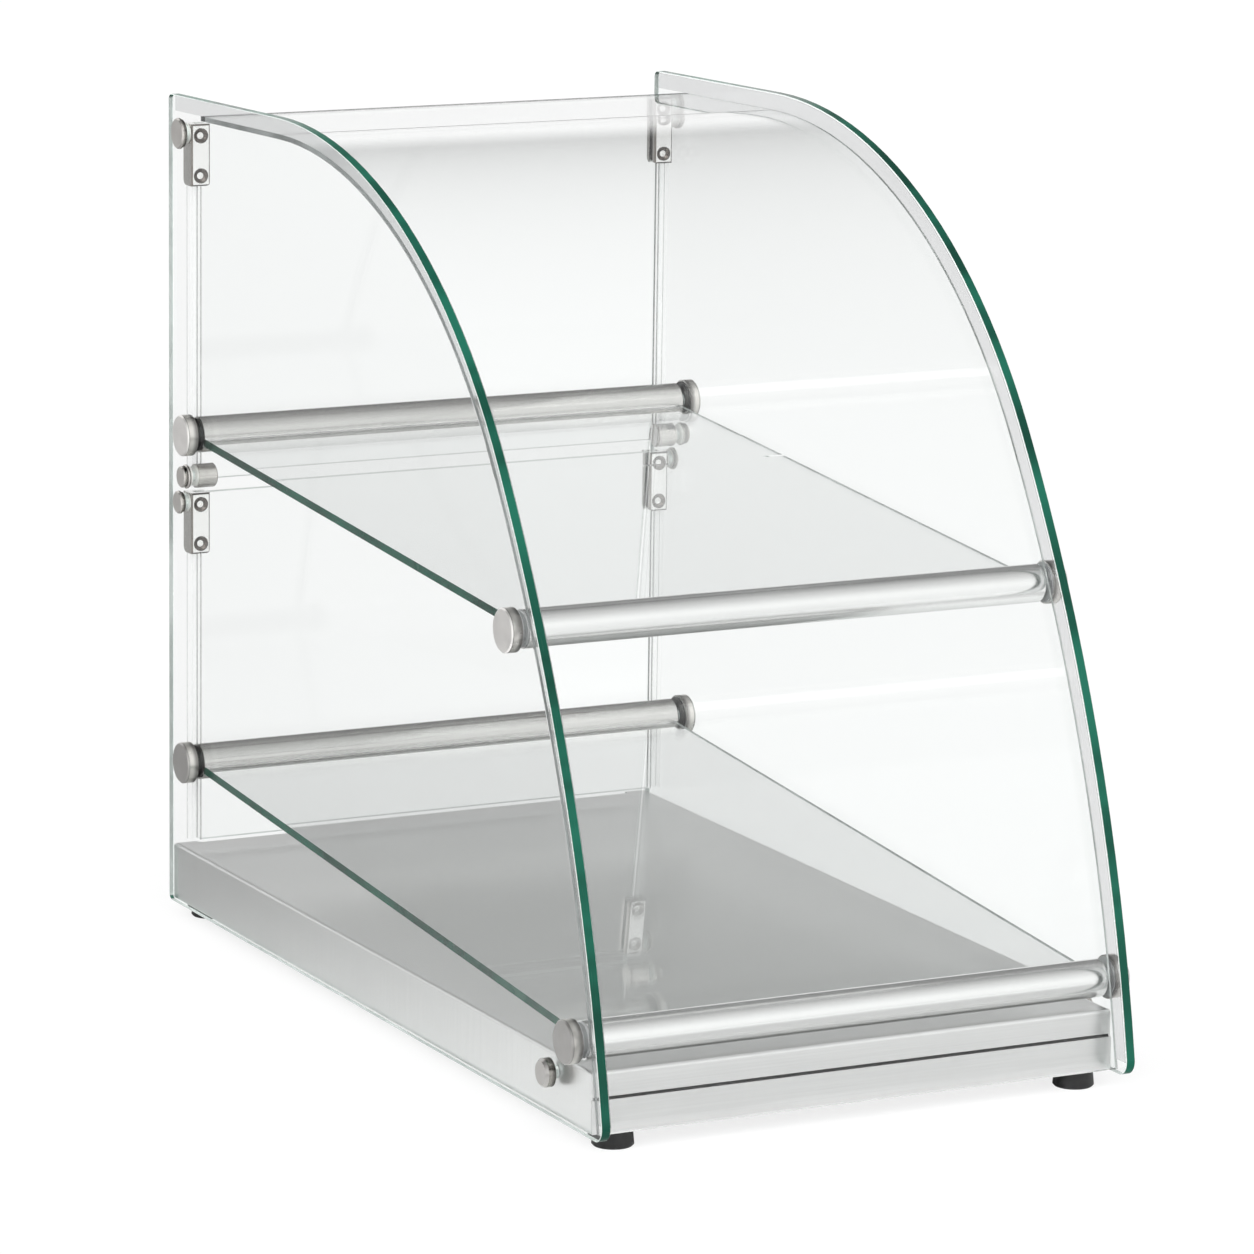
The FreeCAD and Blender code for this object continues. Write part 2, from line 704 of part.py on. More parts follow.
def door_clamp(door):
    """The right clamp of a door: a channel that grips the pane, bored for its pivot and screws."""
    height = pivot_places[door][1]
    top = height + clamp_top_margin
    low = top - clamp_height
    rear = pivot_setback - clamp_depth / 2
    front = pivot_setback + clamp_depth / 2
    body = block(clamp_inner, clamp_outer, rear, front, low, top)
    rear_face = spot(0, rear, low).y
    front_face = spot(0, front, low).y
    low_rear = [e for e in level_edges(body, low) if e.BoundBox.YMin > rear_face - tolerance]
    body = body.makeFillet(clamp_corner_radius, low_rear)
    rims = [e for e in body.Edges if e.BoundBox.YMax < front_face + tolerance]
    body = body.makeChamfer(clamp_edge_chamfer, rims)
    slot_rear = pivot_setback - clamp_slot / 2
    slot_front = pivot_setback + clamp_slot / 2
    body = body.cut(block(clamp_inner, door_glass_half, slot_rear, slot_front, low, top))
    plate_corner = spot(clamp_inner, (slot_front + front) / 2, low)
    inner_corner = [e for e in level_edges(body, low) if e.BoundBox.isInside(plate_corner)]
    body = body.makeFillet(clamp_plate_radius, inner_corner)
    pivot_bore = pivot_diameter / 2 + running_clearance
    body = body.cut(bar(pivot_bore, clamp_outer - clamp_bore_depth, clamp_outer, *pivot_places[door]))
    x = (clamp_inner + clamp_outer) / 2
    head_depth = clamp_screw_head_height + clamp_screw_sink
    thread_radius = clamp_screw_diameter / 2 + thread_clearance
    head_radius = clamp_screw_head_diameter / 2 + screw_clearance
    for screw_height in clamp_screw_places(door):
        start = spot(x, slot_front, screw_height)
        seat = spot(x, front - head_depth, screw_height)
        body = body.cut(Part.makeCylinder(thread_radius, front - slot_front, start, FORWARD))
        body = body.cut(Part.makeCylinder(head_radius, head_depth, seat, FORWARD))
    return body


def clamp_screws(door):
    """A door's clamp screws, with dished faces and hexagon sockets."""
    front = pivot_setback + clamp_depth / 2
    face = front - clamp_screw_sink
    dish_floor = face - clamp_screw_dish_depth
    seat = face - clamp_screw_head_height
    tip = pivot_setback + clamp_slot / 2
    x = (clamp_inner + clamp_outer) / 2
    head_radius = clamp_screw_head_diameter / 2
    screws = []
    for height in clamp_screw_places(door):
        head = Part.makeCylinder(head_radius, clamp_screw_head_height, spot(x, seat, height), FORWARD)
        shank = Part.makeCylinder(clamp_screw_diameter / 2, seat - tip, spot(x, tip, height), FORWARD)
        dish_radii = (clamp_screw_dish_floor / 2, clamp_screw_dish_diameter / 2)
        dish = Part.makeCone(*dish_radii, clamp_screw_dish_depth, spot(x, dish_floor, height), FORWARD)
        corners = [spot(x + step, dish_floor, height + rise) for step, rise in hexagon(clamp_screw_socket)]
        rim = Part.Face(Part.makePolygon(corners + corners[:1]))
        socket = rim.extrude(-FORWARD * clamp_socket_depth)
        screws += both_sides(head.fuse(shank).removeSplitter().cut(dish).cut(socket))
    return screws


def clamp_pads(door):
    """The thin pads between a door's pane and its clamps."""
    top = pivot_places[door][1] + door_top_margin - clamp_pad_margin
    low = pivot_places[door][1] + clamp_top_margin - clamp_height + clamp_pad_margin
    half_glass = door_glass_thickness / 2
    half_slot = clamp_slot / 2
    start = clamp_inner + clamp_pad_margin
    pads = []
    for rear, front in ((half_glass, half_slot), (-half_slot, -half_glass)):
        pad = block(start, door_glass_half, pivot_setback + rear, pivot_setback + front, low, top)
        pads += both_sides(pad)
    return pads


def write(name, shapes):
    """One STEP file for a node, from one solid or several."""
    solids = [solid for shape in shapes for solid in shape.Solids]
    for solid in solids:
        if not solid.isValid():
            raise ValueError(name + " is not a valid solid")
    shape = solids[0] if len(solids) == 1 else Part.makeCompound(solids)
    shape.exportStep(os.path.join("parts", name + ".step"))


def write_pair(name, right):
    """Left and right nodes from a right-hand piece."""
    write(name + "_right", [right])
    write(name + "_left", [mirrored(right)])


def write_case():
    """The fixed glass, rails, base and hardware."""
    right_glass = side_glass()
    write("right_side_glass", [right_glass])
    write("left_side_glass", [mirrored(right_glass)])
    write("front_glass", [front_glass()])
    write("front_glass_bonds", front_glass_bonds())
    for name in shelf_rails:
        write(name, [shelf(name)])
    plugs = []
    studs = []
    cap_gaskets = []
    rail_gaskets = []
    for name, place in rail_axes.items():
        write(name, [rail(name)])
        write_pair(name + "_cap", rail_cap(name))
        plugs += rail_plugs(name)
        studs += rail_studs(name)
        cap_gaskets += outer_gaskets(cap_diameter, stud_diameter, place)
        rail_gaskets += inner_gaskets(rail_diameter, stud_diameter, place)
    write("rail_end_plugs", plugs)
    write("rail_studs", studs)
    write("rail_cap_gaskets", cap_gaskets)
    write("rail_end_gaskets", rail_gaskets)
    write("base_deck", [base_deck()])
    write("base_tray", [base_tray()])
    for name, place in foot_places().items():
        write(name + "_foot", [foot(*place)])
    write("foot_screws", [foot_screw(*place) for place in foot_places().values()])
    write("side_glass_bolts", both_sides(side_glass_bolt()))
    write("side_glass_bolt_gaskets", outer_gaskets(bolt_seat_diameter, bolt_diameter, bolt_place))
    write("side_glass_bolt_nuts", both_sides(bolt_nut()))
    write_pair("door_stop_barrel", stop_barrel())
    write_pair("door_stop_cap", stop_cap())
    stop_gaskets = outer_gaskets(stop_diameter, stop_stud_diameter, stop_place)
    stop_gaskets += inner_gaskets(stop_diameter, stop_stud_diameter, stop_place)
    write("door_stop_gaskets", stop_gaskets)
    write("door_stop_studs", stop_studs())


def write_door(door):
    """One flap door, its clamps and its pivots."""
    prefix = door + "_door_"
    write(prefix + "glass", [door_glass(door)])
    write_pair(prefix + "clamp", door_clamp(door))
    write(prefix + "clamp_screws", clamp_screws(door))
    write(prefix + "clamp_pads", clamp_pads(door))
    write(prefix + "edge_strips", door_strips(door))
    write_pair(prefix + "pivot", pivot(door))


os.makedirs("parts", exist_ok=True)
write_case()
for door_name in pivot_places:
    write_door(door_name)
write("pivot_bushes", pivot_bushes("upper") + pivot_bushes("lower"))
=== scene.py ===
"""Finishes, studio and camera for the glass countertop display case."""

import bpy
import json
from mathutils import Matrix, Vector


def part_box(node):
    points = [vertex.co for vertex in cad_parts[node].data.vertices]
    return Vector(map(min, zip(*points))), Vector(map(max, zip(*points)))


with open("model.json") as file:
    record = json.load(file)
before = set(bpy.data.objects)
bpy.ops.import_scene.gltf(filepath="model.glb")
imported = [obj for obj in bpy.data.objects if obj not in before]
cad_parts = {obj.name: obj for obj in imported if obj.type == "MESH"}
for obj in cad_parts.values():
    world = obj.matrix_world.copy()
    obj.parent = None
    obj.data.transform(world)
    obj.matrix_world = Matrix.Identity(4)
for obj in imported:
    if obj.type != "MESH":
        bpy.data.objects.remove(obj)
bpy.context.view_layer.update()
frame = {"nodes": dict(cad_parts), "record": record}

import functools
import json
import math

import bpy
from mathutils import Matrix, Vector

bl_info = {
    "name": "Glass display case",
    "version": (1, 0, 0),
    "blender": (4, 5, 0),
    "location": "3D View > Sidebar > Display Case",
    "description": "Dresses the packed display case and sets up its studio",
    "category": "Object",
}

DOORS = ("upper_door", "lower_door")

# Ranges over which one look gives way to another. Facing runs from 0, edge on, to 1, square on.
NOISE_RANGE = (0.3, 0.7)
GRAIN_RANGE = (0.25, 0.75)
PANE_FACING = (0.5, 0.7)
SIDE_FACING = (0.6, 0.8)
SIDE_PANE_FACING = (0.88, 0.96)
SIDE_BEVEL_FACING = (0.35, 0.45)
TURNED_FACE_FACING = (0.8, 0.95)
FRONT_TO_REAR = (-0.05, 0.05)
LEFT_TO_RIGHT = (-0.05, 0.05)

# Scales of streaky noise, per metre across the case, along its depth and up
GLASS_WAVES = (3.0, 5.0, 4.0)
EDGE_STRETCHES = (2.0, 13.0, 13.0)
EDGE_GRIND = (900.0, 60.0, 60.0)
DRAWN_LINES = (900.0, 900.0, 9.0)
TUBE_LINES = (7.0, 2600.0, 2600.0)
TUBE_CLOUDS = (5.0, 40.0, 40.0)
LEVEL_GRAIN = (9.0, 1900.0, 1900.0)
UPRIGHT_GRAIN = (1900.0, 1900.0, 14.0)
WIPES = (700.0, 700.0, 60.0)
CLAMP_WIPES = (60.0, 700.0, 700.0)

# Where finishes change on the glass and its strips, in metres
EDGE_SKIN = (0.0002, 0.0006)
HOLE_WALL = (0.0055, 0.0065)
# Painted shade on the side glasses' green edges, outwards from the caps' axes
CAP_SHADE = (0.02, 0.06)
TOP_EDGE_BAND = (0.0066, 0.0060)
STRIP_COVER_BLUR = 0.0001
STRIP_TOP_BLUR = 0.0002
STRIP_REAR_LINE = (0.0012, 0.0008)
STRIP_INNER_LINE = (0.0005, 0.0009)

# Rims of turned pieces: width in metres and roughness
CAP_RIM = (0.007, 0.3)
KNOB_RIM = (0.0025, 0.2)
BOLT_RIM = (0.006, 0.2)
TURNED_FACE_ROUGHNESS = 0.44

# Other finishes
ZINC_ROUGHNESS = 0.28
PLUG_ROUGHNESS = 0.35
SEAM_BENDING = 1.1
SEAM_HAZE = 0.14

# Painted light on the cap faces, lighter the higher they sit: share at the counter, rise per metre,
# greatest share
CAP_FACE_PAINTED_LIGHT = (0.32, 2.9, 1.2)

# Floor, by depth in metres, in reflections and bounced light: painted shade darkens it behind and in a
# grey stripe ahead, and it glows with painted light further ahead
FLOOR_PAINTED_SHADE_RANGE = (-0.3, 0.55)
FLOOR_PAINTED_SHADE_SHARE = 0.40
STRIPE_DEPTH = 0.38
STRIPE_REACH = (0.03, 0.15)
PAINTED_STRIPE_SHARE = 0.48
FLOOR_PAINTED_GLOW_RANGE = (-0.8, -0.45)
FLOOR_PAINTED_GLOW = 1.12

# Room light by direction: the bright front, the pale horizon, the card behind on the left, the dim back
FRONT_TURN = (-0.7, 0.8)
FRONT_CLIMB = (0.25, 0.95)
FRONT_OVERHEAD = 0.6
HORIZON_BAND = (0.22, 0.45)
CARD_WAY = (-0.34, 0.83, 0.44)
CARD_EDGE = (0.90, 0.97)
BACK_LEVEL = 0.2

LAMP_FROM = Vector((-0.45, -0.55, 0.9))
LAMP_SPREAD = math.radians(60.0)
SENSOR_WIDTH = 36.0
CLIP_END = 200.0
LIGHT_BOUNCES = 32
WHITE = (1.0, 1.0, 1.0, 1.0)

slot_of = {part["node"]: part["material_slot"] for part in frame["record"]["subparts"]}


def nodes_in(*slots):
    """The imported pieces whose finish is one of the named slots."""
    return [name for name, slot in sorted(slot_of.items()) if slot in slots]


def middle(node):
    """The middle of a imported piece's box."""
    low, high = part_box(node)
    return (low + high) / 2


class Signal:
    """One output in a node tree. Arithmetic on it adds Math nodes."""

    def __init__(self, tree, socket):
        self.tree = tree
        self.socket = socket

    def maths(self, operation, first, second=0.0):
        return self.tree.node("Math", {"operation": operation}, {0: first, 1: second})

    def __add__(self, other):
        return self.maths("ADD", self, other)

    def __sub__(self, other):
        return self.maths("SUBTRACT", self, other)

    def __rsub__(self, other):
        return self.maths("SUBTRACT", other, self)

    def __mul__(self, other):
        return self.maths("MULTIPLY", self, other)

    def __truediv__(self, other):
        return self.maths("DIVIDE", self, other)

    def __abs__(self):
        return self.maths("ABSOLUTE", self)

    def sine(self):
        return self.maths("SINE", self)

    def root(self):
        return self.maths("SQRT", self)

    def most(self, other):
        return self.maths("MAXIMUM", self, other)

    def least(self, other):
        return self.maths("MINIMUM", self, other)

    def span(self, low, high, start=0.0, end=1.0):
        """Carries low..high smoothly to start..end, and holds outside them."""
        settings = {"interpolation_type": "SMOOTHSTEP"}
        return self.tree.node("MapRange", settings, {0: self, 1: low, 2: high, 3: start, 4: end})

    def clouded(self, start=0.0, end=1.0):
        """Carries the usual range of a noise to start..end."""
        return self.span(*NOISE_RANGE, start, end)


class Tree:
    """A node tree and the one method that adds a node to it."""

    def __init__(self, owner):
        owner.use_nodes = True
        self.nodes = owner.node_tree.nodes
        self.links = owner.node_tree.links
        self.nodes.clear()

    def node(self, kind, settings=None, inputs=None, output=0):
        """Adds a node, applies its settings, then gives its inputs their values or links."""
        made = self.nodes.new("ShaderNode" + kind)
        for name, value in (settings or {}).items():
            setattr(made, name, value)
        for name, value in (inputs or {}).items():
            if isinstance(value, Signal):
                self.links.new(value.socket, made.inputs[name])
            else:
                made.inputs[name].default_value = value
        return Signal(self, made.outputs[output]) if made.outputs else None

    def place(self):
        """Where a point is on its piece, in metres, as a vector."""
        return self.node("TexCoord", output="Object")

    def facing(self):
        """The three parts of the piece's own surface direction."""
        return self.parts(self.node("TexCoord", output="Normal"))

    def parts(self, vector):
        """The three parts of a vector."""
        split = self.node("SeparateXYZ", inputs={0: vector})
        return [Signal(self, split.socket.node.outputs[i]) for i in range(3)]

    def from_axis(self, place):
        """How far a point is from an axis across the case, with its steps along the depth and up."""
        steps_from_origin = self.parts(self.place())
        ahead, above = steps_from_origin[1] - place.y, steps_from_origin[2] - place.z
        return (ahead * ahead + above * above).root(), ahead, above

    def nearest(self, places):
        """How far a point is from the nearest of some axes across the case."""
        return functools.reduce(Signal.least, [self.from_axis(place)[0] for place in places])

    def noise(self, vector, scale, detail=2.0, roughness=0.5):
        """Cloudy values around one half."""
        inputs = {"Vector": vector, "Scale": scale, "Detail": detail, "Roughness": roughness}
        return self.node("TexNoise", inputs=inputs)

    def streaks(self, scale, detail=2.0, roughness=0.5):
        """Noise with its own scale, per metre, along each axis of the piece."""
        drawn_out = self.node("Mapping", inputs={"Vector": self.place(), "Scale": scale})
        return self.noise(drawn_out, 1.0, detail, roughness)

    def tint(self, factor, first, second):
        """A colour between two colours."""
        return self.node("Mix", {"data_type": "RGBA"}, {0: factor, 6: first, 7: second}, 2)

    def bump(self, height, strength, depth):
        """A bent normal from a height; depth is in metres."""
        return self.node("Bump", inputs={"Height": height, "Strength": strength, "Distance": depth})

    def leant(self, ahead, above):
        """The piece's own normal, leant along the depth and up."""
        own = self.node("TexCoord", output="Normal")
        lean = self.node("CombineXYZ", inputs={"Y": ahead, "Z": above})
        bent = self.node("VectorMath", {"operation": "ADD"}, {0: own, 1: lean})
        settings = {"vector_type": "NORMAL", "convert_from": "OBJECT", "convert_to": "WORLD"}
        return self.node("VectorTransform", settings, {0: bent})

    def mixed(self, factor, first, second):
        """A shader between two shaders."""
        return self.node("MixShader", inputs={0: factor, 1: first, 2: second})

    def principled(self, **inputs):
        """The general surface shader; a name's underscores stand for spaces."""
        named = {name.replace("_", " "): value for name, value in inputs.items()}
        return self.node("BsdfPrincipled", inputs=named)

    def show(self, shader):
        """Ends the tree with a surface shader."""
        self.node("OutputMaterial", inputs={"Surface": shader})


def rgba(colour):
    """A colour property as a socket's four numbers."""
    return (*colour, 1.0)


def shaded(colour, share):
    """A share of a colour property's brightness, as a socket's four numbers."""
    return rgba([share * part for part in colour])


def dress(names, material):
    """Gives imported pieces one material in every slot."""
    for name in names:
        mesh = frame["nodes"][name].data
        mesh.materials.clear()
        mesh.materials.append(material)


def lamp_through(tree, shader, tint):
    """Glass for every ray but a lamp's own, which passes with the pane's tint."""
    is_lamp = tree.node("LightPath", output="Is Shadow Ray")
    clear = tree.node("BsdfTransparent", inputs={"Color": tint})
    return tree.mixed(is_lamp, shader, clear)


def clear_glass(tree, settings, bending):
    """Clear float glass, seen through its two faces, with faint waviness and dust in its gloss."""
    wave = tree.streaks(GLASS_WAVES)
    haze = tree.noise(tree.place(), 22.0, 4.0, 0.6)
    return tree.principled(
        Base_Color=rgba(settings.pane_tint),
        Roughness=haze.span(0.45, 0.8, 0.0, settings.haze),
        IOR=bending,
        Transmission_Weight=1.0,
        Normal=tree.bump(wave, 0.02, 0.002),
    )


def ground_edge(tree, light, dark, shade=1.0):
    """Polished cut edge: the depth of green light that gathers in a pane, in long uneven stretches."""
    stretches = tree.streaks(EDGE_STRETCHES, 3.0, 0.62).span(0.38, 0.6)
    fine = tree.streaks(EDGE_GRIND)
    return tree.principled(
        Base_Color=tree.tint(stretches * shade, rgba(dark), rgba(light)),
        Roughness=fine.clouded(0.14, 0.28),
        Specular_IOR_Level=0.12,
    )


def painted_highlight_arris(tree, settings):
    """The narrow polished bevel beside a cut edge, with a pale colour that is a painted highlight."""
    grind = tree.noise(tree.place(), 900.0, 2.0)
    return tree.principled(
        Base_Color=rgba(settings.arris_painted_highlight),
        Roughness=grind.clouded(0.12, 0.3),
        IOR=settings.bending,
        Transmission_Weight=0.35,
    )


def side_glass_finish(settings):
    """Clear faces; bevels and hole walls with a pale painted highlight; green cut edges in front, with
    painted shade beside the caps, and pale ones behind and below.
    """
    material = bpy.data.materials.new("side_glass")
    tree = Tree(material)
    across = abs(tree.facing()[0])
    low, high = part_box("left_side_glass")
    y, z = tree.parts(tree.place())[1:]
    thin, thick = EDGE_SKIN
    plain = y.span(high.y - thick, high.y - thin).most(z.span(low.z + thin, low.z + thick, 1.0, 0.0))
    caps = [middle(rail + "_cap_left") for rail in nodes_in("stainless_tube")]
    others = [door + "_pivot_left" for door in DOORS] + ["door_stop_cap_left", "side_glass_bolts"]
    holes = tree.nearest(caps + [middle(name) for name in others])
    # Painted shade: the green edges darken near the rail caps
    edge_painted_shade_by_caps = tree.nearest(caps).span(*CAP_SHADE, 0.3, 1.0)
    green = ground_edge(tree, settings.edge_green, settings.edge_green_deep, edge_painted_shade_by_caps)
    pale = ground_edge(tree, settings.plain_edge, settings.plain_edge_deep)
    edge = tree.mixed(plain, green, pale)
    ground = across.span(*SIDE_BEVEL_FACING).most(holes.span(*HOLE_WALL, 1.0, 0.0))
    bevelled = tree.mixed(ground, edge, painted_highlight_arris(tree, settings))
    pane = clear_glass(tree, settings, settings.side_bending)
    shader = tree.mixed(across.span(*SIDE_PANE_FACING), bevelled, pane)
    tree.show(lamp_through(tree, shader, rgba(settings.pane_tint)))
    return material


def shelf_glass_finish(settings):
    """Clear upper and lower faces, a green cut end on the left and a paler one on the right."""
    material = bpy.data.materials.new("shelf_glass")
    tree = Tree(material)
    across = abs(tree.facing()[0])
    left = ground_edge(tree, settings.shelf_edge_green, settings.shelf_edge_green_deep)
    right = ground_edge(tree, settings.bent_edge_grey, settings.bent_edge_grey_deep)
    edge = tree.mixed(tree.parts(tree.place())[0].span(*LEFT_TO_RIGHT), left, right)
    shader = tree.mixed(across.span(*PANE_FACING), clear_glass(tree, settings, settings.bending), edge)
    tree.show(lamp_through(tree, shader, rgba(settings.pane_tint)))
    return material


def front_glass_finish(settings):
    """Clear bent faces, grey cut edges at the two sides and a dark one along the rear of the top."""
    material = bpy.data.materials.new("front_glass")
    tree = Tree(material)
    across = abs(tree.facing()[0])
    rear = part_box("front_glass")[1].y
    at_rear = tree.parts(tree.place())[1].span(*[rear - step for step in TOP_EDGE_BAND])
    sides = ground_edge(tree, settings.bent_edge_grey, settings.bent_edge_grey_deep)
    rear_edge = ground_edge(tree, settings.top_edge_dark, settings.edge_green_deep)
    beside = tree.mixed(across.span(*PANE_FACING), clear_glass(tree, settings, settings.bending), sides)
    shader = tree.mixed(at_rear, beside, rear_edge)
    tree.show(lamp_through(tree, shader, rgba(settings.pane_tint)))
    return material


def door_glass_finish(door, settings, strip_width):
    """Clear front and rear faces, pale cut edges; plainly see-through under the strips."""
    material = bpy.data.materials.new(door + "_glass")
    tree = Tree(material)
    through = abs(tree.facing()[1])
    edge = ground_edge(tree, settings.door_edge_pale, settings.door_edge_pale_deep)
    clear = clear_glass(tree, settings, settings.bending)
    open_pane = tree.mixed(through.span(*PANE_FACING), edge, clear)
    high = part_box(door + "_edge_strips")[1]
    inner = high.x - strip_width
    along = tree.parts(tree.place())
    beside = abs(along[0]).span(inner - STRIP_COVER_BLUR, inner)
    covered = beside * along[2].span(high.z, high.z + STRIP_TOP_BLUR, 1.0, 0.0)
    dust = tree.noise(tree.place(), 200.0, 3.0)
    faint = tree.principled(
        Base_Color=rgba(settings.pane_tint),
        Roughness=0.2,
        Alpha=dust.clouded(0.01, 0.03),
    )
    shader = tree.mixed(covered, open_pane, faint)
    tree.show(lamp_through(tree, shader, rgba(settings.pane_tint)))
    return material


def clear_plastic_finish(name, colour, bending, haze):
    """Cloudy clear plastic with faint drawn lines along its length."""
    material = bpy.data.materials.new(name)
    tree = Tree(material)
    drawn = tree.streaks(DRAWN_LINES, 3.0)
    shader = tree.principled(
        Base_Color=tree.tint(drawn, shaded(colour, 0.94), rgba(colour)),
        Roughness=drawn.clouded(0.6 * haze, haze),
        IOR=bending,
        Transmission_Weight=1.0,
        Normal=tree.bump(drawn, 0.1, 0.0001),
    )
    tree.show(lamp_through(tree, shader, rgba(colour)))
    return material


def strip_finish(strips, settings):
    """A clear channel strip: a faint drawn skin, with a grey line along its rear and inner corners."""
    material = bpy.data.materials.new(strips)
    tree = Tree(material)
    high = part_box(strips)[1]
    inner = high.x - settings.strip_width
    x, y = tree.parts(tree.place())[:2]
    at_rear = y.span(*[high.y - step for step in STRIP_REAR_LINE])
    at_inside = abs(x).span(*[inner + step for step in STRIP_INNER_LINE], 1.0, 0.0)
    line = at_inside.most(at_rear * abs(tree.facing()[0]).span(*SIDE_FACING))
    drawn = tree.streaks(DRAWN_LINES, 3.0)
    shader = tree.principled(
        Base_Color=tree.tint(line, rgba(settings.strip_colour), rgba(settings.strip_line_colour)),
        Roughness=drawn.clouded(0.12, 0.3),
        Alpha=line * 0.45 + drawn.clouded(0.06, 0.12),
    )
    tree.show(shader)
    return material


def brushed_tube_finish(settings):
    """Stainless tube brushed along its length: long fine lines in colour, gloss and height; painted
    shade darkens the rear rails.
    """
    material = bpy.data.materials.new("stainless_tube")
    tree = Tree(material)
    lines = tree.streaks(TUBE_LINES, 3.0, 0.6)
    clouds = tree.streaks(TUBE_CLOUDS)
    # Painted shade: the rear rails get a darker colour than the front ones
    rear = tree.parts(tree.place())[1].span(*FRONT_TO_REAR)
    pale = tree.tint(rear, rgba(settings.tube_colour), rgba(settings.rear_tube_painted_shade))
    grey = tree.tint(lines * 0.6 + clouds * 0.4, shaded(WHITE[:3], 0.97), WHITE)
    times = {"data_type": "RGBA", "blend_type": "MULTIPLY"}
    shader = tree.principled(
        Base_Color=tree.node("Mix", times, {0: 1.0, 6: pale, 7: grey}, 2),
        Metallic=1.0,
        Roughness=lines.span(*GRAIN_RANGE, -0.02, 0.03) + settings.tube_roughness,
        Normal=tree.bump(lines, 0.004, 0.00002),
    )
    tree.show(shader)
    return material


def brushed_sheet_finish(settings):
    """Folded stainless sheet: grain across the case on its top and front, upright on its sides."""
    material = bpy.data.materials.new("stainless_sheet")
    tree = Tree(material)
    level = tree.streaks(LEVEL_GRAIN, 4.0, 0.62)
    upright = tree.streaks(UPRIGHT_GRAIN, 4.0, 0.62)
    on_side = abs(tree.facing()[0]).span(*SIDE_FACING)
    grain = level * (1.0 - on_side) + upright * on_side
    clouds = tree.noise(tree.place(), 9.0, 3.0)
    pale = rgba(settings.sheet_colour)
    grey = shaded(settings.sheet_colour, 0.88)
    shader = tree.principled(
        Base_Color=tree.tint((grain * 0.75 + clouds * 0.25).span(0.2, 0.8), grey, pale),
        Metallic=1.0,
        Roughness=grain.span(*GRAIN_RANGE, -0.05, 0.06) + settings.sheet_roughness,
        Normal=tree.bump(grain, 0.06, 0.00005),
    )
    tree.show(shader)
    return material


def turned_finish(name, sample, colour, rim_colour, rim, settings):
    """Satin metal turned on a lathe about an axis across the case; sample is its left piece.

    On the flat face the tool leaves rings: the normal leans outwards and inwards by turns, as the sine
    of the radius, so that the light fans out from the middle. The rim has its own colour and gloss,
    with a painted highlight band that gives way to painted shade towards its two shoulders.
    """
    material = bpy.data.materials.new(name)
    tree = Tree(material)
    rim_width, rim_roughness = rim
    radius, ahead, above = tree.from_axis(middle(sample))
    inset = (0.0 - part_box(sample)[0].x - abs(tree.parts(tree.place())[0])) / rim_width
    # Painted highlight and shade: the rim is pale in a band across its middle and painted darker
    # towards its shoulders
    band = inset.span(0.1, 0.24) * inset.span(0.45, 0.9, 1.0, 0.0)
    painted_shade_shoulder = shaded(rim_colour, settings.rim_painted_shade)
    rings = (radius * (2.0 * math.pi / settings.ring_pitch)).sine()
    across = abs(tree.facing()[0])
    on_face = across.span(*TURNED_FACE_FACING)
    outward = rings * on_face * settings.ring_lean / radius.most(settings.ring_pitch)
    around = tree.tint(band, painted_shade_shoulder, rgba(rim_colour))
    roughness = on_face * (TURNED_FACE_ROUGHNESS - rim_roughness) + rim_roughness
    clouds = tree.noise(tree.place(), 110.0, 3.0)
    shader = tree.principled(
        Base_Color=tree.tint(across.span(0.4, 0.6), around, rgba(colour)),
        Metallic=1.0,
        Roughness=roughness * clouds.clouded(0.9, 1.1),
        Normal=tree.leant(ahead * outward, above * outward),
    )
    tree.show(shader)
    return material


def polished_finish(name, colour, roughness):
    """Polished metal with faint clouds, wipe marks and a worn gloss."""
    material = bpy.data.materials.new(name)
    tree = Tree(material)
    clouds = tree.noise(tree.place(), 90.0, 3.0)
    wipes = tree.streaks(WIPES, 3.0, 0.6)
    grey = shaded(colour, 0.88)
    shader = tree.principled(
        Base_Color=tree.tint(clouds.clouded(), grey, rgba(colour)),
        Metallic=1.0,
        Roughness=wipes.span(0.3, 0.75, roughness * 0.7, roughness * 1.5),
        Normal=tree.bump(wipes, 0.05, 0.00004),
    )
    tree.show(shader)
    return material


def clamp_finish(settings):
    """Polished steel plates, with painted shade on their bevels and undersides and greyer painted shade
    on their sides.
    """
    material = bpy.data.materials.new("polished_clamp")
    tree = Tree(material)
    x, y, z = tree.facing()
    # Painted shade: bevels and downward faces take the dark painted shade colour, faces across the case
    # a greyer one
    bevel = abs(x).most(abs(y)).most(abs(z)).span(0.8, 0.96, 1.0, 0.0).most((0.0 - z).span(0.5, 0.8))
    plate = tree.tint(abs(x).span(0.6, 0.9), rgba(settings.polish_colour), rgba(settings.barrel_colour))
    wipes = tree.streaks(CLAMP_WIPES, 3.0, 0.6)
    shader = tree.principled(
        Base_Color=tree.tint(bevel, plate, rgba(settings.painted_shade_colour)),
        Metallic=1.0,
        Roughness=wipes.span(0.3, 0.75, 0.14, 0.24),
    )
    tree.show(shader)
    return material


def stepped_finish(settings):
    """Polished steel turned about an axis across the case, with painted shade on the shoulders between
    its steps.
    """
    material = bpy.data.materials.new("polished_turned")
    tree = Tree(material)
    across = abs(tree.facing()[0])
    # Painted shade on the shoulders between the steps
    painted_shade_shoulder = across.span(0.3, 0.5) * across.span(*TURNED_FACE_FACING, 1.0, 0.0)
    clouds = tree.noise(tree.place(), 90.0, 3.0)
    shader = tree.principled(
        Base_Color=tree.tint(painted_shade_shoulder, rgba(settings.barrel_colour), rgba(settings.painted_shade_colour)),
        Metallic=1.0,
        Roughness=clouds.span(0.3, 0.75, 0.12, 0.2),
    )
    tree.show(shader)
    return material


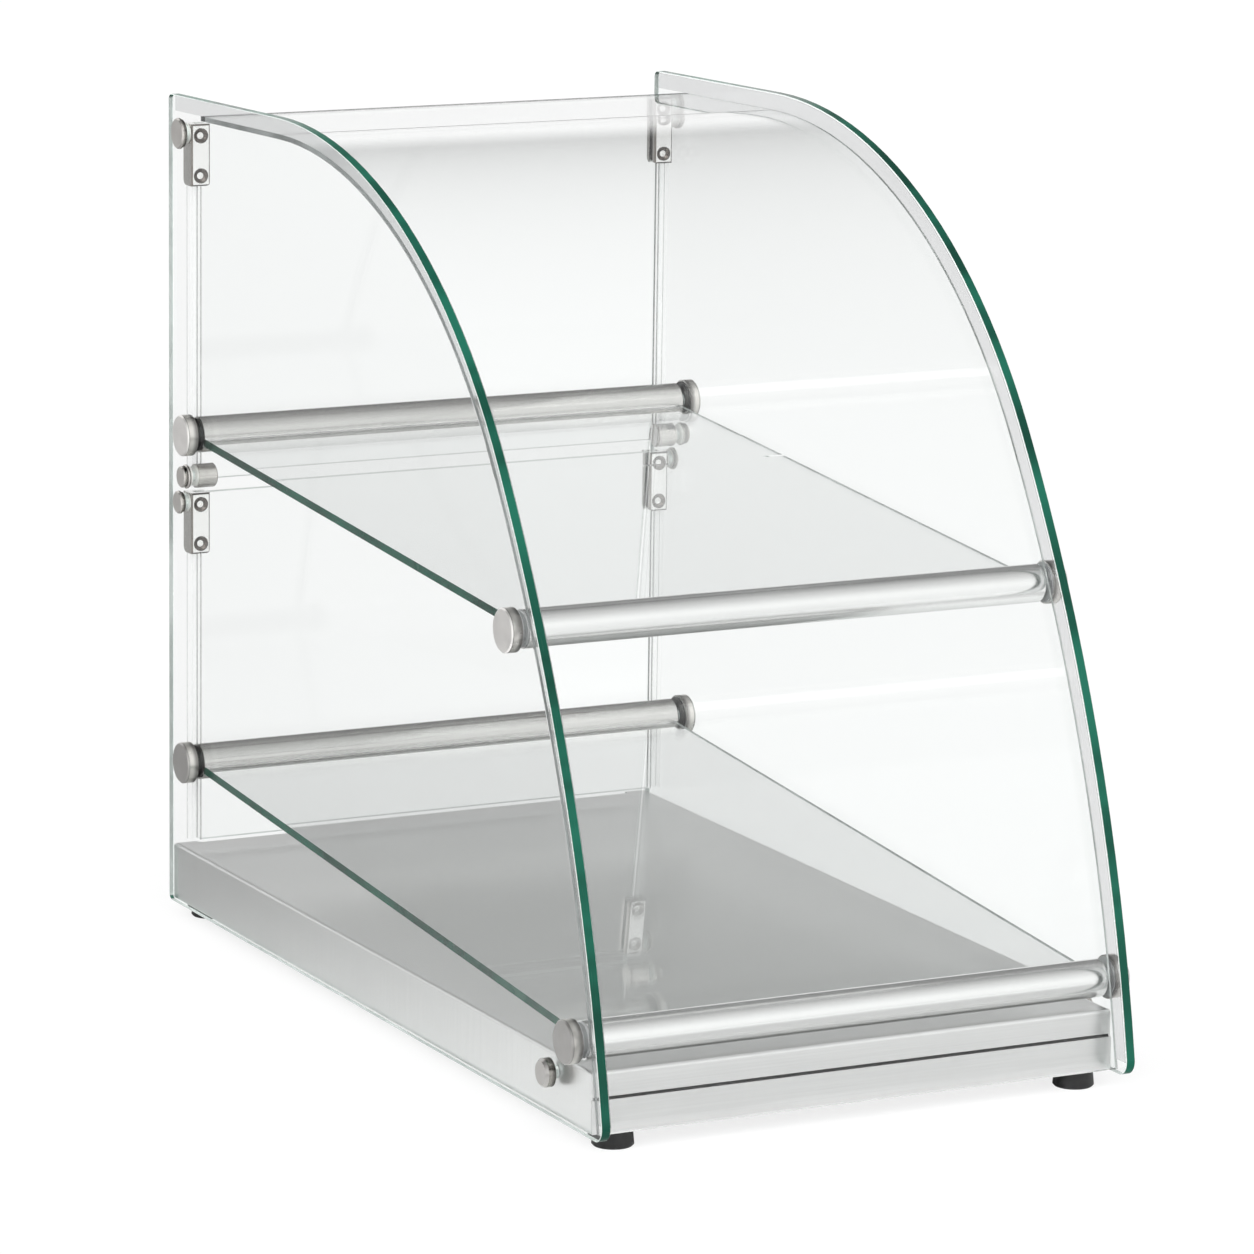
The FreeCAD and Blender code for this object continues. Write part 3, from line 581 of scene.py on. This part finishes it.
def dished_screw_finish(name, settings):
    """Dished screw heads that face the front: a dark cone of painted shade about a pale floor, by
    radius.
    """
    material = bpy.data.materials.new(name)
    tree = Tree(material)
    low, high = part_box(name)
    along = tree.parts(tree.place())
    x, z = along[0], along[2]
    size = settings.screw_radius
    aside = abs(x) - (high.x - size)
    upward = abs(z - (high.z - size)).least(abs(z - (low.z + size)))
    radius = (aside * aside + upward * upward).root() / size
    # Painted shade in the dished recess of each head
    cone = radius.span(0.42, 0.5)
    grain = tree.noise(tree.place(), 500.0, 2.0)
    shader = tree.principled(
        Base_Color=tree.tint(cone, rgba(settings.polish_colour), rgba(settings.dish_painted_shade)),
        Metallic=1.0,
        Roughness=grain.clouded(0.18, 0.3),
    )
    tree.show(shader)
    return material


def rubber_finish(name, front_colour, rear_colour):
    """Moulded rubber: fine pebbling, dusty patches, a soft sheen; its colour may differ in front."""
    material = bpy.data.materials.new(name)
    tree = Tree(material)
    where = tree.place()
    pebble = tree.noise(where, 1500.0, 3.0, 0.6)
    dust = tree.noise(where, 70.0, 4.0, 0.65).span(0.5, 0.8)
    colour = tree.tint(tree.parts(where)[1].span(*FRONT_TO_REAR), rgba(front_colour), rgba(rear_colour))
    shader = tree.principled(
        Base_Color=tree.tint(dust * 0.03, colour, (0.7, 0.7, 0.7, 1.0)),
        Roughness=dust * 0.15 + pebble.clouded(0.38, 0.5),
        Normal=tree.bump(pebble, 0.25, 0.00012),
    )
    tree.show(shader)
    return material


def nylon_finish(settings):
    """White moulded nylon with soft clouding."""
    material = bpy.data.materials.new("white_nylon")
    tree = Tree(material)
    where = tree.place()
    clouds = tree.noise(where, 160.0, 3.0)
    skin = tree.noise(where, 1400.0, 2.0)
    cream = shaded(settings.nylon_colour, 0.93)
    shader = tree.principled(
        Base_Color=tree.tint(clouds.clouded(), cream, rgba(settings.nylon_colour)),
        Roughness=skin.clouded(0.35, 0.5),
        Normal=tree.bump(skin, 0.1, 0.0001),
    )
    tree.show(shader)
    return material


def colour_property(name, description, default):
    """A colour that a user may change."""
    options = {"size": 3, "subtype": "COLOR", "min": 0.0, "max": 1.0}
    return bpy.props.FloatVectorProperty(name=name, description=description, default=default, **options)


class GlassSettings(bpy.types.PropertyGroup):
    """Colours and gloss of the panes."""

    pane_tint: colour_property("Pane tint", "What one pane lets through", (0.975, 0.983, 0.980))
    edge_green: colour_property(
        "Edge green", "Lighter stretches of the side glasses' edges", (0.011, 0.118, 0.076))
    edge_green_deep: colour_property(
        "Deep edge green", "Darker stretches of cut edges", (0.004, 0.045, 0.029))
    shelf_edge_green: colour_property(
        "Shelf edge", "Lighter stretches of the shelves' ends", (0.001, 0.075, 0.046))
    shelf_edge_green_deep: colour_property(
        "Deep shelf edge", "Darker stretches of them", (0.0005, 0.036, 0.023))
    plain_edge: colour_property(
        "Plain edge", "Lighter stretches of the paler edges", (0.62, 0.67, 0.65))
    plain_edge_deep: colour_property("Deep plain edge", "Darker stretches of them", (0.42, 0.47, 0.45))
    top_edge_dark: colour_property(
        "Top edge", "The bent glass's edge along the rear of the top", (0.05, 0.055, 0.053))
    bent_edge_grey: colour_property(
        "Bent edge", "Lighter stretches of the bent glass's sides", (0.50, 0.53, 0.52))
    bent_edge_grey_deep: colour_property(
        "Deep bent edge", "Darker stretches of them", (0.28, 0.30, 0.29))
    door_edge_pale: colour_property(
        "Door edge", "Lighter stretches of the door panes' edges", (0.80, 0.83, 0.82))
    door_edge_pale_deep: colour_property(
        "Deep door edge", "Darker stretches of them", (0.66, 0.70, 0.68))
    # Painted highlight: the pale colour of the bevels and hole walls beside the edges
    arris_painted_highlight: colour_property("Bevel", "The bright bevels beside the edges", (0.86, 0.94, 0.91))
    bending: bpy.props.FloatProperty(
        name="Bending", description="Refractive index of the other panes",
        default=1.37, min=1.0, max=2.0)
    side_bending: bpy.props.FloatProperty(
        name="Side bending", description="Refractive index of the side glasses",
        default=1.22, min=1.0, max=2.0)
    haze: bpy.props.FloatProperty(
        name="Haze", description="Roughness of the dustier patches",
        default=0.02, min=0.0, max=0.5, subtype="FACTOR")


class MetalSettings(bpy.types.PropertyGroup):
    """Colours and gloss of the metal pieces."""

    tube_colour: colour_property("Tube", "Brushed tube of the rails", (0.84, 0.84, 0.835))
    # Painted shade: the rear rails' tube is given a darker colour
    rear_tube_painted_shade: colour_property("Rear tube", "Tube of the rear rails", (0.62, 0.615, 0.60))
    sheet_colour: colour_property("Sheet", "Brushed sheet of the base", (0.84, 0.84, 0.835))
    cap_colour: colour_property("Caps", "Satin faces of the turned caps", (0.80, 0.785, 0.765))
    rim_colour: colour_property("Cap rims", "Rims of the caps", (0.74, 0.72, 0.69))
    # Painted shade: the rims of the pivots, stops and bolts get a darker colour than their faces
    knob_rim_painted_shade: colour_property(
        "Knob rims", "Rims of the pivots, stops and bolts", (0.46, 0.44, 0.41))
    bolt_colour: colour_property("Bolts", "Satin bolts through the side glasses", (0.48, 0.47, 0.455))
    barrel_colour: colour_property("Stops", "Turned stops and the pivots' heads", (0.66, 0.64, 0.615))
    polish_colour: colour_property(
        "Polished", "Clamps and the floors of their screws", (0.93, 0.925, 0.915))
    # Painted shade on the bevels, undersides and step shoulders of the polished pieces
    painted_shade_colour: colour_property(
        "Bevels", "Dark bevels and shoulders of the polished pieces", (0.24, 0.22, 0.20))
    # Painted shade in the screw heads' dished cones
    dish_painted_shade: colour_property("Dishes", "Dark cones in the screw heads", (0.13, 0.115, 0.105))
    zinc_colour: colour_property("Zinc", "Studs, nuts and foot screws", (0.46, 0.455, 0.44))
    plug_colour: colour_property("Plugs", "Aluminium plugs in the rails", (0.70, 0.70, 0.71))
    tube_roughness: bpy.props.FloatProperty(
        name="Tube roughness", description="Blur of the tube's reflections",
        default=0.16, min=0.1, max=1.0, subtype="FACTOR")
    sheet_roughness: bpy.props.FloatProperty(
        name="Sheet roughness", description="Blur of the sheet's reflections",
        default=0.33, min=0.1, max=1.0, subtype="FACTOR")
    screw_radius: bpy.props.FloatProperty(
        name="Screw radius", description="Radius of the clamp screws' heads",
        default=0.0046, min=0.001, max=0.02, subtype="DISTANCE", unit="LENGTH")
    # Painted shade on the rims' shoulders, beside their painted highlight band
    rim_painted_shade: bpy.props.FloatProperty(
        name="Shoulder shade", description="How dark the rims' shoulders are beside their pale band",
        default=0.34, min=0.0, max=1.0, subtype="FACTOR")
    ring_pitch: bpy.props.FloatProperty(
        name="Ring pitch", description="Distance between the turned rings",
        default=0.0004, min=0.0001, max=0.01, subtype="DISTANCE", unit="LENGTH")
    ring_lean: bpy.props.FloatProperty(
        name="Ring lean", description="Slope of the turned rings' flanks",
        default=0.16, min=0.0, max=1.0)


class TrimSettings(bpy.types.PropertyGroup):
    """Colours of rubber, strips, nylon and clear seams."""

    rubber_colour: colour_property("Rubber", "Feet, pads and rear washers", (0.006, 0.006, 0.006))
    washer_colour: colour_property("Front washers", "Washers of the front rails", (0.40, 0.405, 0.41))
    strip_colour: colour_property("Strips", "Clear strips on the doors", (0.80, 0.805, 0.805))
    strip_line_colour: colour_property(
        "Strip lines", "Grey lines along the strips' corners", (0.14, 0.145, 0.145))
    bond_colour: colour_property("Seams", "Clear seams beside the bent glass", (0.82, 0.82, 0.825))
    nylon_colour: colour_property("Nylon", "Bushes and washers", (0.82, 0.82, 0.79))
    strip_width: bpy.props.FloatProperty(
        name="Strip width", description="Width of the clear strips",
        default=0.0072, min=0.001, max=0.05, subtype="DISTANCE", unit="LENGTH")


class StageSettings(bpy.types.PropertyGroup):
    """The floor, the light and the camera."""

    floor_colour: colour_property("Floor", "Plain pale floor", (0.95, 0.95, 0.95))
    floor_size: bpy.props.FloatProperty(
        name="Floor size", description="Length of the floor's sides",
        default=80.0, min=5.0, max=200.0, subtype="DISTANCE", unit="LENGTH")
    floor_white: bpy.props.FloatProperty(
        name="Floor white", description="Share of plain white in the floor as it is seen",
        default=0.8, min=0.0, max=1.0, subtype="FACTOR")
    sun_strength: bpy.props.FloatProperty(
        name="Soft lamp", description="Strength of the broad lamp",
        default=2.2, min=0.0, max=10.0)
    sky_strength: bpy.props.FloatProperty(
        name="Room light", description="Strength of the light from all round",
        default=1.0, min=0.0, max=10.0)
    lens: bpy.props.FloatProperty(
        name="Lens", description="Focal length",
        default=184.49, min=20.0, max=500.0, subtype="DISTANCE_CAMERA", unit="CAMERA")
    camera_place: bpy.props.FloatVectorProperty(
        name="Camera place", description="Where the camera stands", size=3,
        default=(-1.7360, -3.3941, 1.0217), subtype="TRANSLATION", unit="LENGTH")
    camera_turn: bpy.props.FloatVectorProperty(
        name="Camera turn", description="Azimuth, elevation and roll", size=3,
        default=(math.radians(-27.03), math.radians(11.69), math.radians(0.78)),
        subtype="EULER", unit="ROTATION")


class DISPLAYCASE_OT_panes(bpy.types.Operator):
    """Finish the side glasses, shelves, bent glass and door panes"""

    bl_idname = "display_case.panes"
    bl_label = "Glass panes"

    def execute(self, context):
        settings = context.scene.display_case_glass
        dress(nodes_in("side_glass"), side_glass_finish(settings))
        dress(nodes_in("shelf_glass"), shelf_glass_finish(settings))
        dress(nodes_in("front_glass"), front_glass_finish(settings))
        strip_width = context.scene.display_case_trim.strip_width
        for door in DOORS:
            dress([door + "_glass"], door_glass_finish(door, settings, strip_width))
        return {"FINISHED"}


class DISPLAYCASE_OT_rails(bpy.types.Operator):
    """Finish the tube rails"""

    bl_idname = "display_case.rails"
    bl_label = "Tube rails"

    def execute(self, context):
        dress(nodes_in("stainless_tube"), brushed_tube_finish(context.scene.display_case_metal))
        return {"FINISHED"}


class DISPLAYCASE_OT_base(bpy.types.Operator):
    """Finish the folded deck and the tray"""

    bl_idname = "display_case.base"
    bl_label = "Folded base"

    def execute(self, context):
        dress(nodes_in("stainless_sheet"), brushed_sheet_finish(context.scene.display_case_metal))
        return {"FINISHED"}


class DISPLAYCASE_OT_caps(bpy.types.Operator):
    """Finish the turned caps, pivots, stop caps and bolts, each about its own axis"""

    bl_idname = "display_case.caps"
    bl_label = "Turned caps"

    def execute(self, context):
        settings = context.scene.display_case_metal
        for rail in nodes_in("stainless_tube"):
            caps = [rail + "_cap_left", rail + "_cap_right"]
            # Painted light: each pair of caps gets a face colour made lighter the higher it sits
            lowest, rise, most = CAP_FACE_PAINTED_LIGHT
            paler = min(most, lowest + rise * middle(caps[0]).z)
            face = [min(1.0, paler * part) for part in settings.cap_colour]
            finish = (face, settings.rim_colour, CAP_RIM, settings)
            dress(caps, turned_finish(rail + "_caps", caps[0], *finish))
        for knob in ("upper_door_pivot", "lower_door_pivot", "door_stop_cap"):
            finish = (settings.barrel_colour, settings.knob_rim_painted_shade, KNOB_RIM, settings)
            dress([knob + "_left", knob + "_right"], turned_finish(knob + "s", knob + "_left", *finish))
        bolts = "side_glass_bolts"
        finish = (settings.bolt_colour, settings.knob_rim_painted_shade, BOLT_RIM, settings)
        dress([bolts], turned_finish(bolts, bolts, *finish))
        return {"FINISHED"}


class DISPLAYCASE_OT_hardware(bpy.types.Operator):
    """Finish the clamps, their screws, the stops' barrels and the hidden fixings"""

    bl_idname = "display_case.hardware"
    bl_label = "Clamps, stops and fixings"

    def execute(self, context):
        settings = context.scene.display_case_metal
        polished = nodes_in("polished_steel")
        dress(polished, stepped_finish(settings))
        dress([name for name in polished if "_clamp_" in name], clamp_finish(settings))
        for name in [name for name in polished if name.endswith("_clamp_screws")]:
            dress([name], dished_screw_finish(name, settings))
        zinc = polished_finish("zinc_steel", settings.zinc_colour, ZINC_ROUGHNESS)
        dress(nodes_in("zinc_steel"), zinc)
        plugs = polished_finish("plug_aluminium", settings.plug_colour, PLUG_ROUGHNESS)
        dress(nodes_in("plug_aluminium"), plugs)
        return {"FINISHED"}


class DISPLAYCASE_OT_trim(bpy.types.Operator):
    """Finish the rubber, the clear strips and seams, and the nylon"""

    bl_idname = "display_case.trim"
    bl_label = "Rubber, strips and seams"

    def execute(self, context):
        settings = context.scene.display_case_trim
        black = settings.rubber_colour
        dress(nodes_in("black_rubber"), rubber_finish("black_rubber", black, black))
        washers = rubber_finish("rail_washers", settings.washer_colour, black)
        dress(["rail_cap_gaskets", "rail_end_gaskets"], washers)
        for door in DOORS:
            dress([door + "_edge_strips"], strip_finish(door + "_edge_strips", settings))
        seams = clear_plastic_finish("clear_bond", settings.bond_colour, SEAM_BENDING, SEAM_HAZE)
        dress(nodes_in("clear_bond"), seams)
        dress(nodes_in("white_nylon"), nylon_finish(settings))
        return {"FINISHED"}


def plain_sight(tree):
    """One where a thing is seen directly or through glass, zero for its light and reflections."""
    looked_at = tree.node("LightPath", output="Is Camera Ray")
    through = tree.node("LightPath", output="Is Transmission Ray")
    mirrored = tree.node("LightPath", output="Glossy Depth")
    scattered = tree.node("LightPath", output="Diffuse Depth")
    return looked_at.most(through) * (1.0 - (mirrored + scattered).least(1.0))


def floor_finish(settings):
    """A pale floor that keeps shadows, nearly white in plain sight; in reflections it has painted shade
    behind and in a stripe, and a painted glow at the front that also lights the case.
    """
    material = bpy.data.materials.new("studio_floor")
    tree = Tree(material)
    seen = plain_sight(tree)
    depth = tree.parts(tree.place())[1]
    # Painted shade and light for reflections and bounced light: a grey stripe, darker behind, and a
    # glow at the front
    stripe = abs(depth + STRIPE_DEPTH).span(*STRIPE_REACH, PAINTED_STRIPE_SHARE, 1.0)
    ahead = depth.span(*FLOOR_PAINTED_SHADE_RANGE, 1.0, 0.0) * stripe
    painted_shade_far = shaded(settings.floor_colour, FLOOR_PAINTED_SHADE_SHARE)
    painted_light = tree.tint(ahead, painted_shade_far, rgba(settings.floor_colour))
    colour = tree.tint(seen, painted_light, rgba(settings.floor_colour))
    plain = tree.node("BsdfDiffuse", inputs={"Color": colour})
    white = tree.node("Emission", inputs={"Color": WHITE, "Strength": 1.0})
    bright = tree.node("Emission", inputs={"Color": WHITE, "Strength": FLOOR_PAINTED_GLOW})
    reflected = tree.mixed(depth.span(*FLOOR_PAINTED_GLOW_RANGE, 1.0, 0.0) * (1.0 - seen), plain, bright)
    tree.show(tree.mixed(seen * settings.floor_white, reflected, white))
    return material


def studio_light(settings):
    """White to the eye; it lights from a bright front, a pale horizon, a card and a dim back."""
    world = bpy.data.worlds.new("studio")
    tree = Tree(world)
    x, y, z = tree.parts(tree.node("TexCoord", output="Generated"))
    front = y.span(*FRONT_TURN, 1.0, 0.0) * z.span(*FRONT_CLIMB, 1.0, FRONT_OVERHEAD)
    horizon = abs(z).span(*HORIZON_BAND, 1.0, 0.0)
    card = (x * CARD_WAY[0] + y * CARD_WAY[1] + z * CARD_WAY[2]).span(*CARD_EDGE)
    level = (front + BACK_LEVEL).most(horizon).most(card) * settings.sky_strength
    seen = plain_sight(tree)
    room = tree.node("Background", inputs={"Color": WHITE, "Strength": level})
    white = tree.node("Background", inputs={"Color": WHITE, "Strength": 1.0})
    tree.node("OutputWorld", inputs={"Surface": tree.mixed(seen, room, white)})
    return world


class DISPLAYCASE_OT_stage(bpy.types.Operator):
    """Set up the floor, the soft light and the camera"""

    bl_idname = "display_case.stage"
    bl_label = "Studio and camera"

    def execute(self, context):
        settings = context.scene.display_case_stage
        scene = context.scene
        half = settings.floor_size / 2
        corners = [(-half, -half, 0.0), (half, -half, 0.0), (half, half, 0.0), (-half, half, 0.0)]
        mesh = bpy.data.meshes.new("studio_floor")
        mesh.from_pydata(corners, [], [(0, 1, 2, 3)])
        mesh.materials.append(floor_finish(settings))
        floor = bpy.data.objects.new("studio_floor", mesh)
        scene.collection.objects.link(floor)

        scene.world = studio_light(settings)
        lamp = bpy.data.lights.new("soft_lamp", "SUN")
        lamp.energy = settings.sun_strength
        lamp.angle = LAMP_SPREAD
        sun = bpy.data.objects.new("soft_lamp", lamp)
        sun.rotation_euler = LAMP_FROM.to_track_quat("Z", "Y").to_euler()
        sun.visible_glossy = False
        scene.collection.objects.link(sun)

        azimuth, elevation, roll = settings.camera_turn
        flat = Vector((math.sin(azimuth), -math.cos(azimuth), 0.0))
        back = flat * math.cos(elevation) + Vector((0.0, 0.0, math.sin(elevation)))
        level = Vector((math.cos(azimuth), math.sin(azimuth), 0.0))
        upward = back.cross(level)
        right = level * math.cos(roll) + upward * math.sin(roll)
        up = upward * math.cos(roll) - level * math.sin(roll)
        view = bpy.data.cameras.new("photo_view")
        view.lens = settings.lens
        view.sensor_width = SENSOR_WIDTH
        view.clip_end = CLIP_END
        camera = bpy.data.objects.new("photo_view", view)
        camera.matrix_world = Matrix.LocRotScale(
            Vector(settings.camera_place), Matrix((right, up, back)).transposed().to_quaternion(), None)
        scene.collection.objects.link(camera)
        scene.camera = camera

        scene.view_settings.view_transform = "Standard"
        scene.cycles.max_bounces = LIGHT_BOUNCES
        scene.cycles.transmission_bounces = LIGHT_BOUNCES
        scene.cycles.transparent_max_bounces = LIGHT_BOUNCES
        return {"FINISHED"}


class DISPLAYCASE_PT_sidebar(bpy.types.Panel):
    """Lists the steps that dress the case"""

    bl_idname = "DISPLAYCASE_PT_sidebar"
    bl_label = "Display Case"
    bl_space_type = "VIEW_3D"
    bl_region_type = "UI"
    bl_category = "Display Case"

    def draw(self, context):
        for step in steps:
            self.layout.operator(step.bl_idname)


steps = (
    DISPLAYCASE_OT_panes,
    DISPLAYCASE_OT_rails,
    DISPLAYCASE_OT_base,
    DISPLAYCASE_OT_hardware,
    DISPLAYCASE_OT_caps,
    DISPLAYCASE_OT_trim,
    DISPLAYCASE_OT_stage,
)
groups = {
    "display_case_glass": GlassSettings,
    "display_case_metal": MetalSettings,
    "display_case_trim": TrimSettings,
    "display_case_stage": StageSettings,
}


def register():
    """Makes the settings, the steps and the panel known."""
    for name, group in groups.items():
        bpy.utils.register_class(group)
        setattr(bpy.types.Scene, name, bpy.props.PointerProperty(type=group))
    for step in (*steps, DISPLAYCASE_PT_sidebar):
        bpy.utils.register_class(step)


def unregister():
    """Takes them away again."""
    for step in (DISPLAYCASE_PT_sidebar, *reversed(steps)):
        bpy.utils.unregister_class(step)
    for name, group in groups.items():
        delattr(bpy.types.Scene, name)
        bpy.utils.unregister_class(group)


def main():
    """Dresses the case step by step."""
    register()
    bpy.ops.display_case.panes()
    bpy.ops.display_case.rails()
    bpy.ops.display_case.base()
    bpy.ops.display_case.hardware()
    bpy.ops.display_case.caps()
    bpy.ops.display_case.trim()
    bpy.ops.display_case.stage()


if __name__ == "__main__":
    main()
